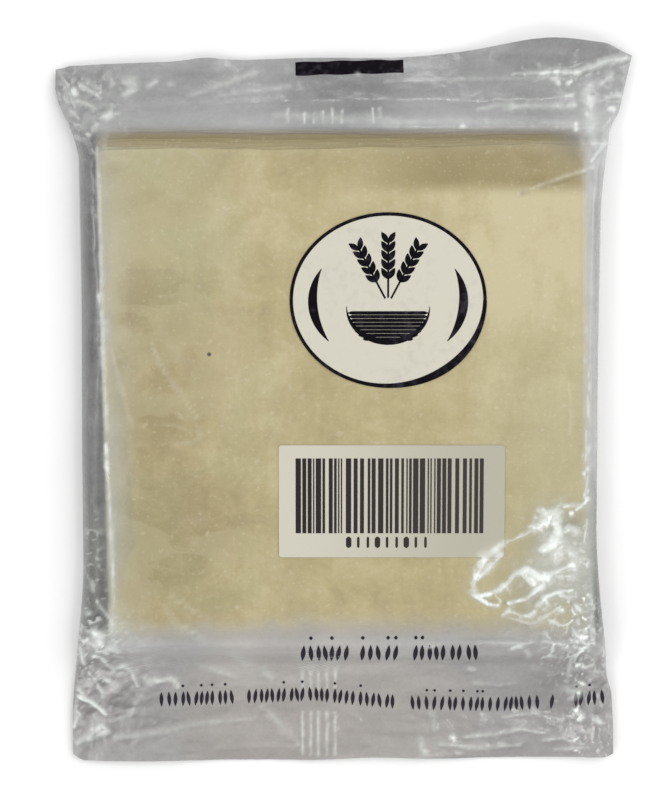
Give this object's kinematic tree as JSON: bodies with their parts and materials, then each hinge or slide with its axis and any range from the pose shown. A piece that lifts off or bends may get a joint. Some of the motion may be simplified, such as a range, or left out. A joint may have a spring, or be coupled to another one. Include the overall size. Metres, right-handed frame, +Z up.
{
  "type": "sealed clear pack of square rice paper sheets",
  "caption": "Flat sealed clear film pack holding a square stack of rice paper sheets, with welded ends and a fin weld on the back.",
  "frame": {"origin": "on the surface the pack lies on, under the middle of its outline", "axes": "+Z up out of the shown face, +Y along the pack to its top seal, +X to the right across it"},
  "size_m": [0.188, 0.2398, 0.0144],
  "materials": {
    "clear_film": "thin clear plastic film, glossy, slightly grey and crinkled",
    "rice_paper": "dry translucent rice paper, cream, faintly mottled",
    "dark_ink": "dark navy print under the film",
    "white_ink": "off-white print under the film"
  },
  "bodies": {
    "root": {"sealed_pack": "clear_film"}
  },
  "joints": []
}
